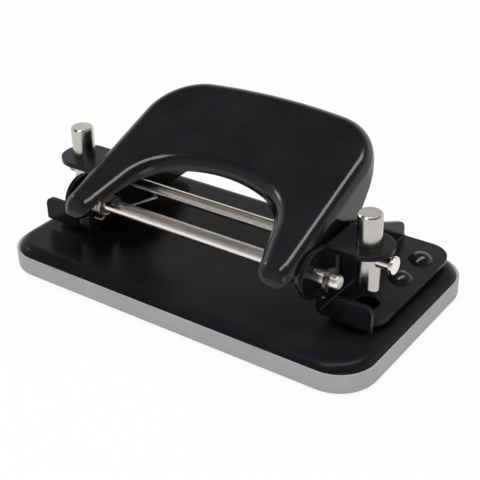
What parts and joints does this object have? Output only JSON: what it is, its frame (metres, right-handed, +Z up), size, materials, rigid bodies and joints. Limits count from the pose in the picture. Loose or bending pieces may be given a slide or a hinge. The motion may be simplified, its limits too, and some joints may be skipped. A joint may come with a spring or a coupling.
{
  "type": "two-hole desk punch",
  "caption": "Small desk hole punch with a pressed lever, guide brackets, sliding punch pins, return springs and a lift-off chip tray.",
  "frame": {"origin": "centre of the footprint, on the table under the chip tray", "axes": "+Z up, +X along the long side towards the right pin, +Y away from the user's paper edge stop side, so the pivot rod is at the front (-Y)"},
  "size_m": [0.1, 0.0554, 0.0392],
  "materials": {
    "black_paint": "gloss",
    "grey_plastic": "matte",
    "bright_steel": "polished",
    "dark_steel": "satin",
    "spring_steel": "satin"
  },
  "bodies": {
    "base": {"base_plate": "black_paint", "left_bracket": "black_paint", "right_bracket": "black_paint", "left_front_rivet": "black_paint", "left_rear_rivet": "black_paint", "right_front_rivet": "black_paint", "right_rear_rivet": "black_paint", "left_front_spacer": "dark_steel", "left_rear_spacer": "dark_steel", "right_front_spacer": "dark_steel", "right_rear_spacer": "dark_steel", "pivot_rod": "bright_steel", "left_pivot_clip": "dark_steel", "right_pivot_clip": "dark_steel", "left_torsion_spring": "spring_steel", "right_torsion_spring": "spring_steel"},
    "tray": {"chip_tray": "grey_plastic"},
    "lever": {"handle": "black_paint"},
    "punches": {"left_punch_pin": "bright_steel", "right_punch_pin": "bright_steel", "pressure_rod": "bright_steel", "left_pressure_rod_head": "bright_steel", "right_pressure_rod_head": "bright_steel"}
  },
  "joints": [
    {"name": "handle_hinge", "type": "hinge", "parent": "base", "child": "lever", "pos_m": [0, -0.0153, 0.019], "axis": [1, 0, 0], "range_deg": [-39.8, 0], "stiffness_Nm_per_rad": 0.08, "springref_deg": 20.05, "deforming": ["left_torsion_spring", "right_torsion_spring"]},
    {"name": "punch_slide", "type": "slide", "parent": "base", "child": "punches", "axis": [0, 0, 1], "range_m": [-0.0072, 0], "stiffness_N_per_m": 60, "springref_m": 0.004},
    {"name": "tray_lift_off", "type": "slide", "parent": "base", "child": "tray", "axis": [0, 0, -1], "range_m": [0, 0.03]}
  ],
  "couplings": [
    {"joint": "punch_slide", "follows": "handle_hinge", "m_per_rad": 0.010365}
  ]
}
